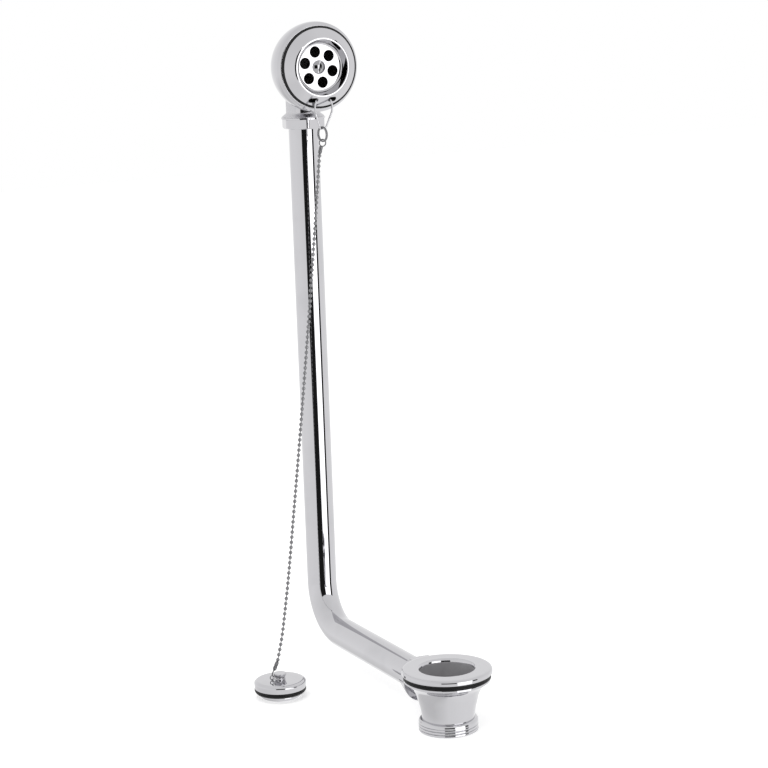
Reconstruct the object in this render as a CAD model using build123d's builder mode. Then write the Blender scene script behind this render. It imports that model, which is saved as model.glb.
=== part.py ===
"""Bath waste and overflow with its plug and chain, in millimetres, Z up, waste axis on Z."""

import math
import os

from build123d import *

# Clearances between pieces that fit into each other
FIT = 0.05

# Waste: flange, washers and cup
FLANGE_R = 36.2
FLANGE_TOP = 50.8
FLANGE_UNDER = 46.4
TAIL_R = 23.85
TAIL_WALL = 2.25
TAIL_BORE = TAIL_R - TAIL_WALL
HOLE_R = TAIL_BORE + 0.7
TAIL_END = 36.0
WASHER_R = 35.0
WASHER_T = 2.0
RIM_R = WASHER_R - 0.4
RIM_TOP = FLANGE_UNDER - 2 * WASHER_T
RIM_T = 1.9
THREAD_R = 23.9
THREAD_LEN = 9.6
OUTLET_BORE = 19.2
NECK_R = 21.45
NECK_Z = 12.7

# Overflow pipe, one inch tube with one bend
PIPE_R = 12.7
PIPE_BORE = 11.5
PIPE_X = -226.0
LEG_Z = 30.2
BEND_R = 38.0

# Union nuts and their rubber rings
NUT_AF = 33.0
NUT_COLLAR_R = 18.6
NUT_COLLAR_T = 1.5
NUT_LEN = 9.5
NUT_WALL = 2.1
RING_T = 2.4
SPIGOT_THREAD_R = 14.5
SOCKET_DEPTH = 7.4
INLET_NUT_X = -39.0
INLET_BORE = 10.2
UPPER_NUT_TURN = -17.0

# Overflow head, depths counted along X from the pipe axis
HEAD_Z = 515.8
HEAD_NUT_DROP = 42.7
HEAD_NUT_Z = HEAD_Z - HEAD_NUT_DROP
DOME_D = 28.6
DOME_R = 37.3
DOME_WALL = 3.0
HEAD_FACE_D = 34.0
HEAD_FACE_R = 34.2
HEAD_EDGE_D = 32.4
HEAD_EDGE_R = 35.6
HEAD_MOUTH_R = 31.0
SPIGOT_R = 14.2
SPIGOT_DROP = 22.0
SHOULDER_R = 17.6
SHOULDER_H = 3.3
POST_R = 5.6
SCREW_R = 3.0

# Gasket and rose
GASKET_R = 33.9
GASKET_BORE = 29.4
GASKET_T = 1.6
ROSE_R = 32.2
ROSE_LIP_R = 23.7
ROSE_LIP_D = 42.4
DISC_R = 20.4
DISC_D = 34.4
DISC_T = 1.8
ROSE_HOLES = 6
ROSE_HOLE_R = 4.5
ROSE_PITCH_R = 12.94
ROSE_HOLE_TURN = 13.4
SLOT_LEN = 8.0
SLOT_H = 3.8
SLOT_Y = 8.6
SLOT_DROP = 26.6
SCREW_HEAD_R = 5.7
SCREW_HEAD_H = 2.6

# Chain stay, ring and chain
WIRE_R = 0.8
STAY_DROP = 23.6
RING_R = 6.5
RING_WIRE = 1.1
RING_TURN = 10.0
BALL_R = 1.6
BALL_PITCH = 4.3
LINK_R = 0.5
UPPER_EYE_BORE = 2.5
UPPER_EYE_WIRE = 0.8
CLASP_R = 1.6
SHANK_R = 0.5
CLASP_DROP = 6.55
CHAIN_PATH = [
    (49.2, -23.0, 330.0),
    (58.2, -42.1, 214.5),
    (63.5, -53.0, 152.7),
    (70.2, -66.8, 78.6),
    (73.7, -74.3, 46.0),
    (77.0, -81.1, 25.8),
]

# Plug
PLUG_OUT = 80.7
PLUG_X = PIPE_X + PLUG_OUT
PLUG_Y = -80.3
PLUG_R = 21.8
PLUG_TOP = 15.2
CAP_UNDER = 8.2
SEAL_UNDER = 4.2
BASE_R = 17.4
STUD_R = 2.5
KNOB_R = 5.65
KNOB_TOP = 20.4
KNOB_FOOT_R = 4.5
KNOB_FOOT_H = 0.6
KNOB_NECK_R = 3.3
PLUG_RING_BORE = 5.0
PLUG_RING_WIRE = 0.9
PLUG_RING_Z = PLUG_TOP + KNOB_FOOT_H + 0.3
PLUG_RING_SHIFT = 1.6
KNOB_NECK_TOP = PLUG_RING_Z + PLUG_RING_WIRE + 0.2
EYE_BORE = 1.4
EYE_WIRE = 0.65
EYE_Y = PLUG_Y - 7.15
EYE_Z = PLUG_RING_Z + 1.25

head_axis = Axis((PIPE_X, 0, HEAD_Z), (1, 0, 0))
leg_axis = Axis((0, 0, LEG_Z), (1, 0, 0))
pipe_axis = Axis((PIPE_X, 0, 0), (0, 0, 1))
plug_axis = Axis((PLUG_X, PLUG_Y, 0), (0, 0, 1))
head_profile = Plane(origin=(PIPE_X, 0, HEAD_Z), x_dir=(0, 1, 0), z_dir=(0, 0, -1))
leg_profile = Plane(origin=(0, 0, LEG_Z), x_dir=(0, 1, 0), z_dir=(0, 0, -1))
pipe_profile = Plane(origin=(PIPE_X, 0, 0), x_dir=(1, 0, 0), z_dir=(0, -1, 0))
plug_profile = Plane(origin=(PLUG_X, PLUG_Y, 0), x_dir=(1, 0, 0), z_dir=(0, -1, 0))
ball_sides = 6


def turned(plane, axis, points):
    """Solid turned from a closed outline of (radius, height) points."""
    with BuildPart() as solid:
        with BuildSketch(plane):
            with BuildLine():
                Polyline(*points, close=True)
            make_face()
        revolve(axis=axis)
    return solid.part


def wire_loop(points, radius):
    """Round wire bent along straight runs."""
    first = Vector(*points[0])
    second = Vector(*points[1])
    with BuildPart() as solid:
        with BuildLine() as run:
            Polyline(*points)
        with BuildSketch(Plane(origin=first, z_dir=second - first)):
            Circle(radius)
        sweep(path=run.line, transition=Transition.RIGHT)
    return solid.part


def eye(centre, bore, wire):
    """Small ring that stands in the Y-Z plane, with bevelled corners."""
    edge = 0.25 * wire
    with BuildPart() as solid:
        with BuildSketch(Plane(origin=centre, x_dir=(0, 1, 0), z_dir=(0, 0, -1))):
            with BuildLine():
                Polyline(
                    (bore, edge - wire / 2), (bore + edge, -wire / 2), (bore + wire - edge, -wire / 2),
                    (bore + wire, edge - wire / 2), (bore + wire, wire / 2 - edge), (bore + wire - edge, wire / 2),
                    (bore + edge, wire / 2), (bore, wire / 2 - edge), close=True,
                )
            make_face()
        revolve(axis=Axis(centre, (1, 0, 0)))
    return solid.part


def clasp(start, end, radius):
    """Short turned sleeve from one point to another, with bevelled ends."""
    run = Vector(*end) - Vector(*start)
    base = Plane(origin=start, z_dir=run)
    long = run.length
    edge = 0.4 * radius
    with BuildPart() as solid:
        with BuildSketch(Plane(origin=start, x_dir=base.x_dir, z_dir=base.y_dir * -1)):
            with BuildLine():
                Polyline(
                    (0, 0), (radius - edge, 0), (radius, edge), (radius, long - edge),
                    (radius - edge, long), (0, long), close=True,
                )
            make_face()
        revolve(axis=Axis(start, run))
    return solid.part


def nut(front, turn):
    """Hexagon union nut: collar at the front plane, hexagon and back wall along the plane's normal."""
    corner = NUT_AF / math.sqrt(3)
    with BuildPart() as solid:
        with BuildSketch(front):
            Circle(NUT_COLLAR_R)
        extrude(amount=NUT_COLLAR_T)
        with BuildSketch(front.offset(NUT_COLLAR_T)):
            RegularPolygon(NUT_AF / 2, 6, major_radius=False, rotation=turn)
        extrude(amount=NUT_LEN - NUT_COLLAR_T)
        with BuildSketch(front.offset(NUT_LEN - 1.6)):
            Circle(corner + 2)
            Circle(corner + 0.2, mode=Mode.SUBTRACT)
        extrude(amount=1.6, taper=-55, mode=Mode.SUBTRACT)
        with BuildSketch(front):
            Circle(SPIGOT_THREAD_R + FIT)
        extrude(amount=NUT_LEN - NUT_WALL, mode=Mode.SUBTRACT)
        with BuildSketch(front):
            Circle(PIPE_R + FIT)
        extrude(amount=NUT_LEN, mode=Mode.SUBTRACT)
    return solid.part


# Waste flange with its tail
waste_flange = turned(Plane.XZ, Axis.Z, [
    (TAIL_BORE, TAIL_END),
    (TAIL_R, TAIL_END),
    (TAIL_R, FLANGE_UNDER),
    (FLANGE_R - 0.5, FLANGE_UNDER),
    (FLANGE_R, FLANGE_UNDER + 0.9),
    (FLANGE_R, FLANGE_TOP - 1.9),
    (FLANGE_R - 0.7, FLANGE_TOP - 0.8),
    (FLANGE_R - 2.6, FLANGE_TOP - 0.1),
    (FLANGE_R - 4.2, FLANGE_TOP),
    (HOLE_R + 0.9, FLANGE_TOP),
    (HOLE_R, FLANGE_TOP - 0.8),
    (TAIL_BORE, FLANGE_TOP - 2.6),
])

# Two rubber washers that sit on both sides of the bath floor
flange_washer = turned(Plane.XZ, Axis.Z, [
    (TAIL_R + FIT, FLANGE_UNDER - WASHER_T),
    (WASHER_R - 0.3, FLANGE_UNDER - WASHER_T),
    (WASHER_R, FLANGE_UNDER - WASHER_T + 0.3),
    (WASHER_R, FLANGE_UNDER - 0.3),
    (WASHER_R - 0.3, FLANGE_UNDER),
    (TAIL_R + FIT, FLANGE_UNDER),
])
body_washer = turned(Plane.XZ, Axis.Z, [
    (TAIL_R + FIT, RIM_TOP),
    (WASHER_R - 0.3, RIM_TOP),
    (WASHER_R, RIM_TOP + 0.3),
    (WASHER_R, RIM_TOP + WASHER_T - 0.3),
    (WASHER_R - 0.3, RIM_TOP + WASHER_T),
    (TAIL_R + FIT, RIM_TOP + WASHER_T),
])

# Waste body: flared cup, outlet and side inlet in one casting
inlet_end = INLET_NUT_X - NUT_LEN + NUT_WALL + RING_T
with BuildPart() as waste_body:
    with BuildSketch(Plane.XZ):
        with BuildLine():
            Polyline(
                (0, 0), (THREAD_R, 0), (THREAD_R, THREAD_LEN - 0.5),
                (THREAD_R - 0.5, THREAD_LEN), (NECK_R + 0.6, THREAD_LEN + 0.9), (NECK_R, NECK_Z),
            )
            Spline(
                (NECK_R, NECK_Z), (22.3, 18.0), (23.5, 23.0), (25.4, 30.0), (28.4, 35.4), (RIM_R, RIM_TOP - RIM_T),
                tangents=((0, 1), (1, 0.35)),
            )
            Polyline((RIM_R, RIM_TOP - RIM_T), (RIM_R, RIM_TOP), (0, RIM_TOP), (0, 0))
        make_face()
    revolve(axis=Axis.Z)
    with BuildSketch(Plane(origin=(0, 0, LEG_Z), x_dir=(0, 1, 0), z_dir=(-1, 0, 0))):
        Circle(SPIGOT_THREAD_R)
    extrude(amount=-inlet_end)
    with BuildSketch(Plane.XY.offset(RIM_TOP)):
        Circle(WASHER_R + 0.5)
    extrude(amount=8, mode=Mode.SUBTRACT)
    with BuildSketch(Plane.XZ):
        with BuildLine():
            Polyline(
                (0, 0), (OUTLET_BORE, 0), (OUTLET_BORE, 9.0), (22.2, 30.0), (22.2, 34.4),
                (TAIL_R + FIT, TAIL_END), (TAIL_R + FIT, RIM_TOP), (0, RIM_TOP), close=True,
            )
        make_face()
    revolve(axis=Axis.Z, mode=Mode.SUBTRACT)
    with BuildSketch(Plane(origin=(0, 0, LEG_Z), x_dir=(0, 1, 0), z_dir=(-1, 0, 0))):
        Circle(INLET_BORE)
    extrude(amount=-inlet_end, mode=Mode.SUBTRACT)
    with BuildSketch(Plane(origin=(inlet_end, 0, LEG_Z), x_dir=(0, 1, 0), z_dir=(1, 0, 0))):
        Circle(PIPE_R + FIT)
    extrude(amount=SOCKET_DEPTH, mode=Mode.SUBTRACT)

# Lower union
lower_union_nut = nut(Plane(origin=(INLET_NUT_X, 0, LEG_Z), x_dir=(0, 1, 0), z_dir=(-1, 0, 0)), 0)
lower_union_ring = turned(leg_profile, leg_axis, [
    (PIPE_R + FIT, inlet_end),
    (SPIGOT_THREAD_R, inlet_end),
    (SPIGOT_THREAD_R, inlet_end - RING_T),
    (PIPE_R + FIT, inlet_end - RING_T),
])

# Overflow pipe: upright, bend and leg, each a plain tube
head_end = HEAD_NUT_Z - NUT_LEN + NUT_WALL + RING_T
pipe_top = head_end + SOCKET_DEPTH
pipe_foot = inlet_end + SOCKET_DEPTH
bend_top = LEG_Z + BEND_R
bend_end = PIPE_X + BEND_R


def straight_tube(plane, length):
    """Straight length of the overflow tube, from a plane on."""
    with BuildPart() as made:
        with BuildSketch(plane):
            Circle(PIPE_R)
            Circle(PIPE_BORE, mode=Mode.SUBTRACT)
        extrude(amount=length)
    return made.part


pipe_upright = straight_tube(Plane(origin=(PIPE_X, 0, bend_top), z_dir=(0, 0, 1)), pipe_top - bend_top)
with BuildPart() as pipe_bend:
    with BuildSketch(Plane(origin=(PIPE_X, 0, bend_top), z_dir=(0, 0, 1))):
        Circle(PIPE_R)
        Circle(PIPE_BORE, mode=Mode.SUBTRACT)
    revolve(axis=Axis((bend_end, 0, bend_top), (0, -1, 0)), revolution_arc=90)
pipe_leg = straight_tube(Plane(origin=(bend_end, 0, LEG_Z), z_dir=(1, 0, 0)), pipe_foot - bend_end)

# Upper union
upper_union_nut = nut(Plane(origin=(PIPE_X, 0, HEAD_NUT_Z), x_dir=(1, 0, 0), z_dir=(0, 0, -1)), -UPPER_NUT_TURN)
upper_union_ring = turned(pipe_profile, pipe_axis, [
    (PIPE_R + FIT, head_end),
    (SPIGOT_THREAD_R, head_end),
    (SPIGOT_THREAD_R, head_end - RING_T),
    (PIPE_R + FIT, head_end - RING_T),
])

# Overflow body: dome, spigot with its shoulder, and the screw post
dome_in = DOME_R - DOME_WALL
spigot_ball_z = HEAD_Z - SPIGOT_DROP
with BuildPart() as overflow_body:
    with BuildSketch(head_profile):
        with BuildLine():
            CenterArc((0, DOME_D), DOME_R, -90, 90)
            Polyline(
                (DOME_R, DOME_D), (HEAD_EDGE_R + 1.2, HEAD_EDGE_D - 1.0), (HEAD_EDGE_R, HEAD_EDGE_D),
                (HEAD_FACE_R, HEAD_FACE_D), (0, HEAD_FACE_D), (0, DOME_D - DOME_R),
            )
        make_face()
    revolve(axis=head_axis)
    with Locations((PIPE_X, 0, spigot_ball_z)):
        Sphere(SPIGOT_R)
    with BuildSketch(pipe_profile):
        with BuildLine():
            Polyline(
                (0, head_end), (SPIGOT_THREAD_R, head_end), (SPIGOT_THREAD_R, HEAD_NUT_Z), (SHOULDER_R, HEAD_NUT_Z),
                (SHOULDER_R, HEAD_NUT_Z + 0.6), (SPIGOT_R, HEAD_NUT_Z + SHOULDER_H), (SPIGOT_R, spigot_ball_z),
                (0, spigot_ball_z), close=True,
            )
        make_face()
    revolve(axis=pipe_axis)
    with BuildSketch(head_profile):
        with BuildLine():
            CenterArc((0, DOME_D), dome_in, -90, 90)
            Polyline((dome_in, DOME_D), (HEAD_MOUTH_R, HEAD_FACE_D), (0, HEAD_FACE_D), (0, DOME_D - dome_in))
        make_face()
    revolve(axis=head_axis, mode=Mode.SUBTRACT)
    with BuildSketch(Plane(origin=(PIPE_X, 0, head_end), x_dir=(1, 0, 0), z_dir=(0, 0, 1))):
        Circle(PIPE_BORE)
    extrude(amount=spigot_ball_z - head_end, mode=Mode.SUBTRACT)
    with Locations((PIPE_X, 0, spigot_ball_z)):
        Sphere(PIPE_BORE, mode=Mode.SUBTRACT)
    with BuildSketch(Plane(origin=(PIPE_X, 0, head_end), x_dir=(1, 0, 0), z_dir=(0, 0, 1))):
        Circle(PIPE_R + FIT)
    extrude(amount=SOCKET_DEPTH, mode=Mode.SUBTRACT)
    with BuildSketch(Plane(origin=(PIPE_X + DOME_D - DOME_R + 1.5, 0, HEAD_Z), x_dir=(0, 1, 0), z_dir=(1, 0, 0))):
        Circle(POST_R)
    extrude(amount=DISC_D - DISC_T - (DOME_D - DOME_R + 1.5))
    with BuildSketch(Plane(origin=(PIPE_X + DISC_D - DISC_T, 0, HEAD_Z), x_dir=(0, 1, 0), z_dir=(-1, 0, 0))):
        Circle(SCREW_R + FIT)
    extrude(amount=18, mode=Mode.SUBTRACT)

# Gasket behind the rose
gasket_front = HEAD_FACE_D + GASKET_T
overflow_gasket = turned(head_profile, head_axis, [
    (GASKET_BORE, HEAD_FACE_D),
    (GASKET_R, HEAD_FACE_D),
    (GASKET_R, gasket_front),
    (GASKET_BORE, gasket_front),
])

# Rose: raised cover, recessed disc with six holes, two slots for the stay
with BuildPart() as overflow_rose:
    with BuildSketch(head_profile):
        with BuildLine():
            Polyline(
                (0, DISC_D - DISC_T), (DISC_R + 1.2, DISC_D - DISC_T), (ROSE_LIP_R + 0.5, ROSE_LIP_D - 2.6),
                (ROSE_R - 1.8, gasket_front), (ROSE_R, gasket_front), (ROSE_R, gasket_front + 0.7),
                (ROSE_R - 0.5, gasket_front + 1.1), (ROSE_LIP_R + 0.9, ROSE_LIP_D - 0.4), (ROSE_LIP_R + 0.5, ROSE_LIP_D),
                (ROSE_LIP_R - 0.7, ROSE_LIP_D), (ROSE_LIP_R - 1.0, ROSE_LIP_D - 0.4), (DISC_R, DISC_D), (0, DISC_D),
                close=True,
            )
        make_face()
    revolve(axis=head_axis)
    with BuildSketch(Plane(origin=(PIPE_X + DISC_D - DISC_T, 0, HEAD_Z), x_dir=(0, 1, 0), z_dir=(1, 0, 0))):
        with PolarLocations(ROSE_PITCH_R, ROSE_HOLES, start_angle=90 + ROSE_HOLE_TURN):
            Circle(ROSE_HOLE_R)
        Circle(SCREW_R + FIT)
    extrude(amount=DISC_T, mode=Mode.SUBTRACT)
    with BuildSketch(Plane(origin=(PIPE_X + gasket_front, 0, HEAD_Z - SLOT_DROP), x_dir=(0, 1, 0), z_dir=(1, 0, 0))):
        with Locations((-SLOT_Y, 0), (SLOT_Y, 0)):
            SlotOverall(SLOT_LEN, SLOT_H)
    extrude(amount=ROSE_LIP_D - gasket_front, mode=Mode.SUBTRACT)

# Screw in the middle of the rose
with BuildPart() as rose_screw:
    with BuildSketch(head_profile):
        with BuildLine():
            Polyline(
                (0, DISC_D - 18), (SCREW_R, DISC_D - 18), (SCREW_R, DISC_D), (SCREW_HEAD_R, DISC_D),
                (SCREW_HEAD_R, DISC_D + 0.5), (SCREW_HEAD_R - 0.9, DISC_D + 1.6), (SCREW_HEAD_R - 2.4, DISC_D + 2.3),
                (0, DISC_D + SCREW_HEAD_H), close=True,
            )
        make_face()
    revolve(axis=head_axis)
    with BuildSketch(Plane(origin=(PIPE_X + DISC_D + 1.0, 0, HEAD_Z), x_dir=(0, 1, 0), z_dir=(1, 0, 0))):
        Rectangle(2 * SCREW_HEAD_R + 1, 1.4, rotation=78)
    extrude(amount=SCREW_HEAD_H, mode=Mode.SUBTRACT)

# Stay: wire behind the bridge, out through both slots, down to a point
bar_x = PIPE_X + 36.4
bar_z = HEAD_Z - SLOT_DROP
stay_x = PIPE_X + 40.6
low_z = bar_z - STAY_DROP
chain_stay = wire_loop([
    (bar_x, 0.2, bar_z),
    (bar_x, 6.1, bar_z),
    (stay_x, 6.6, bar_z - 0.3),
    (stay_x, 7.9, bar_z - 4.5),
    (stay_x, 7.6, bar_z - 10.0),
    (stay_x, 1.0, low_z),
    (stay_x, -4.0, low_z),
    (stay_x, -7.8, bar_z - 10.0),
    (stay_x, -7.9, bar_z - 4.5),
    (stay_x, -6.6, bar_z - 0.3),
    (bar_x, -6.1, bar_z),
    (bar_x, -0.2, bar_z),
], WIRE_R)

# Split ring of two turns, hung on the stay
ring_y = -2.0
ring_z = low_z + WIRE_R + RING_WIRE + FIT - RING_R
ring_centre = Vector(stay_x, ring_y, ring_z)
ring_along = Vector(math.cos(math.radians(RING_TURN)), math.sin(math.radians(RING_TURN)), 0)
ring_across = Vector(-math.sin(math.radians(RING_TURN)), math.cos(math.radians(RING_TURN)), 0)
inner = RING_R - RING_WIRE
with BuildPart() as split_ring:
    with BuildSketch(Plane(origin=ring_centre, x_dir=(0, 0, 1), z_dir=ring_along)):
        with BuildLine():
            Polyline(
                (inner, -0.75 * RING_WIRE), (inner + 0.35, 0), (inner, 0.75 * RING_WIRE),
                (inner + 0.3, RING_WIRE), (RING_R - 0.3, RING_WIRE), (RING_R, 0.75 * RING_WIRE),
                (RING_R - 0.3, 0), (RING_R, -0.75 * RING_WIRE), (RING_R - 0.3, -RING_WIRE),
                (inner + 0.3, -RING_WIRE), close=True,
            )
        make_face()
    revolve(axis=Axis(ring_centre, ring_across))

# Ball chain on its own line, which starts where the upper coupling's clasp ends
upper_eye = Vector(stay_x, ring_y - 0.3, ring_z - inner - 1.8)
eye_foot = upper_eye + Vector(0.1, -1.3, -2.3)
chain_top = eye_foot + Vector(0.3, -2.0, -CLASP_DROP)
chain_course = [(PIPE_X + out, side, height) for out, side, height in CHAIN_PATH]
with BuildLine() as chain_line:
    chain_edge = Spline(chain_top, *chain_course)
chain_length = chain_edge.length
link_end = BALL_PITCH - 0.9 * BALL_R - FIT
ball_count = int((chain_length - BALL_R - link_end) / BALL_PITCH) + 1
with BuildPart() as ball:
    for height, radius in ((-0.9, 0.45), (-0.38, 0.97), (0.38, 0.97), (0.9, 0.45)):
        with BuildSketch(Plane.XY.offset(height * BALL_R)):
            RegularPolygon(radius * BALL_R, ball_sides)
    loft(ruled=True)
    with BuildSketch(Plane.XY.offset(0.9 * BALL_R)):
        RegularPolygon(LINK_R, 4)
    extrude(amount=link_end - 0.9 * BALL_R)
balls = []
for index in range(ball_count):
    where = chain_edge.location_at(BALL_R + index * BALL_PITCH, position_mode=PositionMode.LENGTH)
    balls.append(ball.part.solid().moved(where))
ball_chain = Compound(label="ball_chain", children=balls)

# Upper coupling: eye on the split ring and clasp on the first ball
with BuildPart() as upper_coupling:
    add(eye(upper_eye, UPPER_EYE_BORE, UPPER_EYE_WIRE))
    add(clasp(eye_foot, chain_top, CLASP_R))

# Lower coupling: clasp on the last link, thin shank and eye on the plug's ring
last_link = BALL_R + (ball_count - 1) * BALL_PITCH + link_end + FIT
clasp_top = chain_edge.position_at(last_link, position_mode=PositionMode.LENGTH)
lower_eye = Vector(PLUG_X, EYE_Y, EYE_Z)
clasp_foot = lower_eye + Vector(-2.0, 2.85, 5.25)
shank_foot = lower_eye + Vector(0, 0, EYE_BORE + 0.3 * EYE_WIRE)
with BuildPart() as lower_coupling:
    add(eye(lower_eye, EYE_BORE, EYE_WIRE))
    add(clasp(clasp_top, clasp_foot, CLASP_R))
    add(clasp(clasp_foot + (clasp_top - clasp_foot) * 0.2, shank_foot, SHANK_R))

# Plug: ring round the neck, knob with its stud, cap, seal and base
ring_shift = Vector(PLUG_X, PLUG_Y - PLUG_RING_SHIFT, 0)
plug_ring = turned(Plane(origin=ring_shift, x_dir=(1, 0, 0), z_dir=(0, -1, 0)), Axis(ring_shift, (0, 0, 1)), [
    (PLUG_RING_BORE, PLUG_RING_Z + 0.2),
    (PLUG_RING_BORE + 0.2, PLUG_RING_Z),
    (PLUG_RING_BORE + PLUG_RING_WIRE - 0.2, PLUG_RING_Z),
    (PLUG_RING_BORE + PLUG_RING_WIRE, PLUG_RING_Z + 0.2),
    (PLUG_RING_BORE + PLUG_RING_WIRE, PLUG_RING_Z + PLUG_RING_WIRE - 0.2),
    (PLUG_RING_BORE + PLUG_RING_WIRE - 0.2, PLUG_RING_Z + PLUG_RING_WIRE),
    (PLUG_RING_BORE + 0.2, PLUG_RING_Z + PLUG_RING_WIRE),
    (PLUG_RING_BORE, PLUG_RING_Z + PLUG_RING_WIRE - 0.2),
])
plug_knob = turned(plug_profile, plug_axis, [
    (0, 0.6),
    (STUD_R, 0.6),
    (STUD_R, PLUG_TOP),
    (KNOB_FOOT_R, PLUG_TOP),
    (KNOB_FOOT_R, PLUG_TOP + KNOB_FOOT_H - 0.15),
    (KNOB_FOOT_R - 0.15, PLUG_TOP + KNOB_FOOT_H),
    (KNOB_NECK_R, PLUG_TOP + KNOB_FOOT_H + 0.1),
    (KNOB_NECK_R, KNOB_NECK_TOP),
    (KNOB_FOOT_R, KNOB_NECK_TOP + 0.1),
    (KNOB_R, KNOB_TOP - 0.9),
    (KNOB_R - 0.25, KNOB_TOP - 0.4),
    (KNOB_R - 0.9, KNOB_TOP),
    (0, KNOB_TOP),
])
plug_cap = turned(plug_profile, plug_axis, [
    (STUD_R + FIT, CAP_UNDER),
    (PLUG_R - 0.4, CAP_UNDER),
    (PLUG_R, CAP_UNDER + 0.5),
    (PLUG_R, PLUG_TOP - 1.5),
    (PLUG_R - 0.5, PLUG_TOP - 0.5),
    (PLUG_R - 1.6, PLUG_TOP),
    (STUD_R + FIT, PLUG_TOP),
])
seal_mid = (SEAL_UNDER + CAP_UNDER) / 2
plug_seal = turned(plug_profile, plug_axis, [
    (STUD_R + FIT, SEAL_UNDER),
    (PLUG_R - 1.7, SEAL_UNDER),
    (PLUG_R - 0.5, SEAL_UNDER + 1.4),
    (PLUG_R - 0.3, seal_mid - 0.3),
    (PLUG_R - 0.8, seal_mid),
    (PLUG_R - 0.2, seal_mid + 0.3),
    (PLUG_R - 0.2, CAP_UNDER),
    (STUD_R + FIT, CAP_UNDER),
])
plug_base = turned(plug_profile, plug_axis, [
    (STUD_R + FIT, 0),
    (BASE_R - 2.6, 0),
    (BASE_R - 0.7, 0.8),
    (BASE_R, 2.2),
    (BASE_R, SEAL_UNDER),
    (STUD_R + FIT, SEAL_UNDER),
])

# One file for each piece
pieces = {
    "waste_flange": waste_flange,
    "flange_washer": flange_washer,
    "body_washer": body_washer,
    "waste_body": waste_body.part,
    "lower_union_nut": lower_union_nut,
    "lower_union_ring": lower_union_ring,
    "pipe_leg": pipe_leg,
    "pipe_bend": pipe_bend.part,
    "pipe_upright": pipe_upright,
    "upper_union_nut": upper_union_nut,
    "upper_union_ring": upper_union_ring,
    "overflow_body": overflow_body.part,
    "overflow_gasket": overflow_gasket,
    "overflow_rose": overflow_rose.part,
    "rose_screw": rose_screw.part,
    "chain_stay": chain_stay,
    "split_ring": split_ring.part,
    "upper_coupling": upper_coupling.part,
    "ball_chain": ball_chain,
    "lower_coupling": lower_coupling.part,
    "plug_ring": plug_ring,
    "plug_knob": plug_knob,
    "plug_cap": plug_cap,
    "plug_seal": plug_seal,
    "plug_base": plug_base,
}
os.makedirs("parts", exist_ok=True)
for name, piece in pieces.items():
    piece.label = name
    export_step(piece, f"parts/{name}.step")
print("chain length", round(chain_length, 1), "balls", ball_count)
print("solids", {name: len(piece.solids()) for name, piece in pieces.items() if len(piece.solids()) != 1})
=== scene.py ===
"""Looks of a bath waste and overflow: smooth chrome, rubber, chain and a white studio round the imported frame."""

from __future__ import annotations

import logging
import math
from dataclasses import dataclass
from enum import Enum
from typing import Any, Callable, Mapping, Sequence

import bmesh
import bpy
import numpy as np
from mathutils import Matrix

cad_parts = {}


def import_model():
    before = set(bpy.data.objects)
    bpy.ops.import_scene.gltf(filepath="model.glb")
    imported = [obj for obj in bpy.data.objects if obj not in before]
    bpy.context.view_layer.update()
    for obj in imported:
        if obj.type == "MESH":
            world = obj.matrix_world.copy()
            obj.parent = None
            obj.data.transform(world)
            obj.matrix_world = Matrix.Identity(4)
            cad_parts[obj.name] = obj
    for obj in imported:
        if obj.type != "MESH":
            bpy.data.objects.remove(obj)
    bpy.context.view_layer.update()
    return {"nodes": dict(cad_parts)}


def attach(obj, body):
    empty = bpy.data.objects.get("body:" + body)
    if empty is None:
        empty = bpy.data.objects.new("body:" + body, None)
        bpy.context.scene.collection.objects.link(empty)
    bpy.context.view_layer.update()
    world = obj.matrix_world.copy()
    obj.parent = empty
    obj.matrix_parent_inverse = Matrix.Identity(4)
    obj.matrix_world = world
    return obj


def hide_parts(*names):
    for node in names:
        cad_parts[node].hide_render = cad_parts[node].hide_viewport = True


LOG = logging.getLogger("bath_waste")
MM = 0.001
SHARP_ANGLE = math.radians(33)
DOUBLES = 2e-7
SLIVERS = 1e-7
SAME_POINT = 1e-6
CORNER_STEPS = 7
CORNER_SHARE = 0.42
CORNER_GUARD = 0.12
GUARD_SHARE = 0.05
SIDES = 144
WIRE_SIDES = 12
FIT = 0.05

Triple = tuple[float, float, float]
Table = Sequence[Sequence[float]]
Shape = Callable[[np.ndarray, np.ndarray, np.ndarray], np.ndarray]
FaceTest = Callable[[np.ndarray, np.ndarray], np.ndarray]

OUT: Triple = (1.0, 0.0, 0.0)
BACK: Triple = (-1.0, 0.0, 0.0)
ASIDE: Triple = (0.0, 1.0, 0.0)
UP: Triple = (0.0, 0.0, 1.0)
DOWN: Triple = (0.0, 0.0, -1.0)


# Surfaces

@dataclass
class Skin:
    """Points in millimetres and four-sided faces of one closed surface."""

    points: np.ndarray
    faces: np.ndarray


@dataclass(frozen=True)
class Spindle:
    """Place that a turned piece is built round: a centre, the way its heights run and the way of angle zero."""

    centre: Triple = (0.0, 0.0, 0.0)
    along: Triple = UP
    across: Triple = OUT

    def place(self, radius: np.ndarray, height: np.ndarray, angle: np.ndarray) -> np.ndarray:
        """Carry cylinder coordinates into the frame: the centre, plus height along, plus radius round.

        Args:
            radius: Distances from the spindle's line.
            height: Distances along it.
            angle: Turns round it, in radians.

        Returns:
            Points with a last axis of three.
        """
        third = np.cross(self.along, self.across)
        ring = np.cos(angle)[..., None] * np.array(self.across) + np.sin(angle)[..., None] * third
        return np.array(self.centre) + height[..., None] * np.array(self.along) + radius[..., None] * ring


def unit(rows: np.ndarray) -> np.ndarray:
    """Vectors divided by their lengths."""
    return rows / np.linalg.norm(rows, axis=-1, keepdims=True)


def runs(line: np.ndarray) -> np.ndarray:
    """Lengths from each point of a line to the next."""
    return np.linalg.norm(np.diff(line, axis=0), axis=1)


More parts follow.
